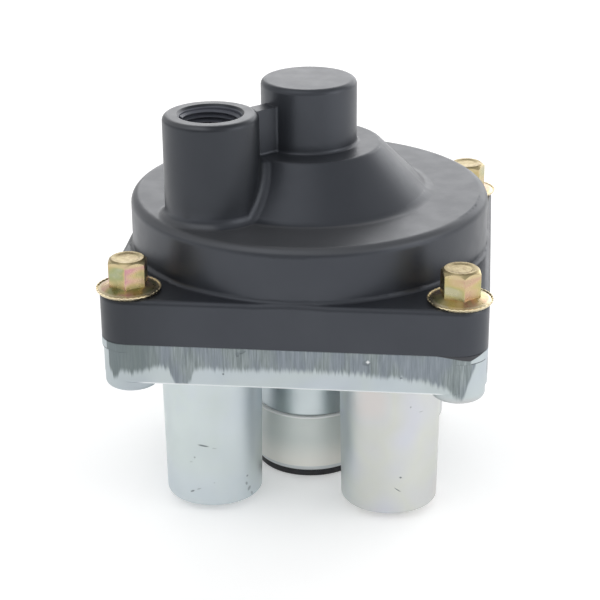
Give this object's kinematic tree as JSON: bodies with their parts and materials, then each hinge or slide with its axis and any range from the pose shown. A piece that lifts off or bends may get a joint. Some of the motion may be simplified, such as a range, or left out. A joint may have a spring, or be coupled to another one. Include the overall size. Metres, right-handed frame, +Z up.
{
  "type": "air brake relay valve",
  "caption": "Square two-piece relay valve: black cover with control port, silver body with delivery ports and exhaust below, supply port behind, sprung piston and valve inside.",
  "frame": {"origin": "on the valve axis at the underside of the exhaust diaphragm, the level the valve rests on", "axes": "+Z up along the valve axis towards the control port's mouth, +Y out of the supply port, +X to the right seen from the front"},
  "size_m": [0.1078, 0.1079, 0.119],
  "materials": {
    "cover_coat": "satin black coat over a die casting",
    "body_casting": "fine cast skin, sides dressed on a belt",
    "yellow_zinc": "yellow passivated zinc with a faint play of colours",
    "shield_nylon": "natural nylon, slightly translucent",
    "black_rubber": "matt rubber",
    "piston_metal": "turned casting",
    "guide_metal": "turned",
    "stem_brass": "turned brass",
    "spring_steel": "oiled spring wire",
    "washer_steel": "zinc plated"
  },
  "bodies": {
    "housing": {"cover": "cover_coat", "body": "body_casting", "cover_seal_ring": "black_rubber", "piston_return_spring": "spring_steel", "valve_spring": "spring_steel", "valve_guide": "guide_metal", "guide_outer_ring": "black_rubber", "guide_inner_ring": "black_rubber", "retaining_ring": "spring_steel", "exhaust_shield": "shield_nylon", "exhaust_diaphragm": "black_rubber", "diaphragm_washer": "washer_steel", "diaphragm_screw": "washer_steel", "cover_screw_front_left": "yellow_zinc", "cover_screw_front_right": "yellow_zinc", "cover_screw_rear_left": "yellow_zinc", "cover_screw_rear_right": "yellow_zinc"},
    "piston": {"relay_piston": "piston_metal", "piston_ring": "black_rubber"},
    "valve": {"valve_face": "black_rubber", "valve_stem": "stem_brass"}
  },
  "joints": [
    {"name": "piston_travel", "type": "slide", "parent": "housing", "child": "piston", "axis": [0, 0, -1], "range_m": [0, 0.0045], "stiffness_N_per_m": 1800, "springref_m": -0.006, "deforming": ["piston_return_spring"]},
    {"name": "valve_lift", "type": "slide", "parent": "housing", "child": "valve", "axis": [0, 0, -1], "range_m": [0, 0.00305], "stiffness_N_per_m": 1200, "springref_m": -0.004, "deforming": ["valve_spring"]}
  ],
  "couplings": [
    {"joint": "valve_lift", "follows": "piston_travel", "ratio": 0.6667}
  ]
}
